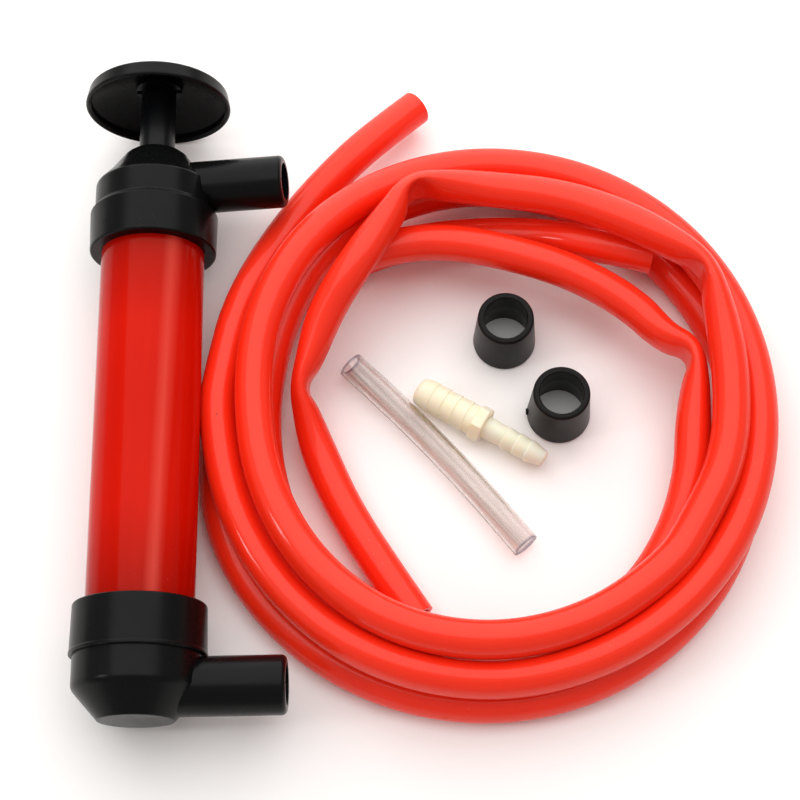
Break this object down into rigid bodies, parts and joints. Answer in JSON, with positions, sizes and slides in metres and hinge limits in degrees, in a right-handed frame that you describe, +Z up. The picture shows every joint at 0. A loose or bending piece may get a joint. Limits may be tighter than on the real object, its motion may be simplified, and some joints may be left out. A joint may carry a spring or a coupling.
{
  "type": "hand siphon transfer pump kit",
  "caption": "Hand plunger pump for oil and fuel, laid flat with two coiled red hoses, rubber hose adapters, a clear tube and a barbed reducer.",
  "frame": {"origin": "on the table under the middle of the pump and the small parts (hoses left out)", "axes": "+Y along the pump from its foot to its handle, +X the way both ports point, +Z up off the table"},
  "size_m": [0.2532, 0.2473, 0.055],
  "materials": {
    "red_barrel": "smooth translucent red tube",
    "black_cap": "satin moulded black",
    "rubber": "matt black rubber",
    "white_nylon": "plain moulded white",
    "clear_pvc": "clear, faint pink-grey",
    "ivory_nylon": "waxy ivory moulding",
    "adapter_rubber": "matt black rubber",
    "red_hose": "bright glossy orange-red"
  },
  "bodies": {
    "pump_body": {"barrel": "red_barrel", "foot_cap": "black_cap", "head_cap": "black_cap", "foot_gasket": "rubber", "head_gasket": "rubber", "foot_valve_seat": "white_nylon", "foot_valve_pin": "white_nylon", "gland_bush": "white_nylon", "rod_seal": "rubber", "clear_tube": "clear_pvc", "barbed_reducer": "ivory_nylon", "hose_adapter_1": "adapter_rubber", "hose_adapter_2": "adapter_rubber", "lower_hose_coil": "red_hose", "upper_hose_coil": "red_hose", "lower_hose_start": "red_hose", "lower_hose_inner_run": "red_hose", "upper_hose_inner_run": "red_hose", "upper_hose_outer_end": "red_hose"},
    "foot_valve": {"foot_valve_flap": "rubber"},
    "piston_seal": {"piston_cup": "rubber"},
    "plunger": {"piston_core": "black_cap", "piston_retainer": "white_nylon", "plunger_rod": "black_cap", "handle_disc": "black_cap"},
    "piston_valve": {"piston_valve_flap": "rubber"}
  },
  "joints": [
    {"name": "plunger_slide", "type": "slide", "parent": "pump_body", "child": "piston_seal", "axis": [0, 0.9998, 0.018], "range_m": [-0.02415, 0.12035]},
    {"name": "plunger_spin", "type": "hinge", "parent": "piston_seal", "child": "plunger", "pos_m": [-0.0667, -0.05296, 0.02465], "axis": [0, 0.9998, 0.018], "continuous": true},
    {"name": "foot_valve_lift", "type": "slide", "parent": "pump_body", "child": "foot_valve", "axis": [0, 0.9998, 0.018], "range_m": [0, 0.0025]},
    {"name": "piston_valve_lift", "type": "slide", "parent": "plunger", "child": "piston_valve", "axis": [0, 0.9998, 0.018], "range_m": [0, 0.002]}
  ]
}
